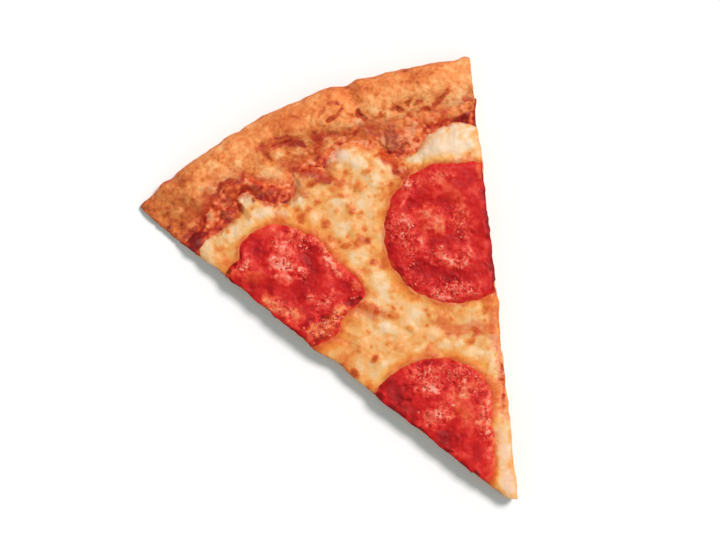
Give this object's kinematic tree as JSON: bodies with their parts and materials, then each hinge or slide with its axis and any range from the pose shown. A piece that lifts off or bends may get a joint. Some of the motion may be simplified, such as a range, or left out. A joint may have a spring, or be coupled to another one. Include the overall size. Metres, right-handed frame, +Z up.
{
  "type": "pepperoni pizza slice",
  "caption": "Wedge of baked pizza: dough with a raised browned rim, tomato sauce, melted cheese, and slices of pepperoni cut through at its edges.",
  "frame": {"origin": "under the middle of the slice's box, on the surface that it rests on", "axes": "+Y from the pointed tip to the rim, +Z up out of the cheese, +X across the slice"},
  "size_m": [0.1394, 0.176, 0.0133],
  "materials": {
    "crust": "baked wheat dough, golden brown, dry and slightly pebbled",
    "sauce": "cooked tomato sauce, wet and dark red",
    "cheese": "melted mozzarella, cream to gold, oily, with brown blisters",
    "pepperoni": "cured pork sausage, deep red, oily and wrinkled by baking"
  },
  "bodies": {
    "root": {"dough": "crust", "sauce": "sauce", "cheese": "cheese", "pepperoni_right": "pepperoni", "pepperoni_left": "pepperoni", "pepperoni_tip": "pepperoni"}
  },
  "joints": []
}
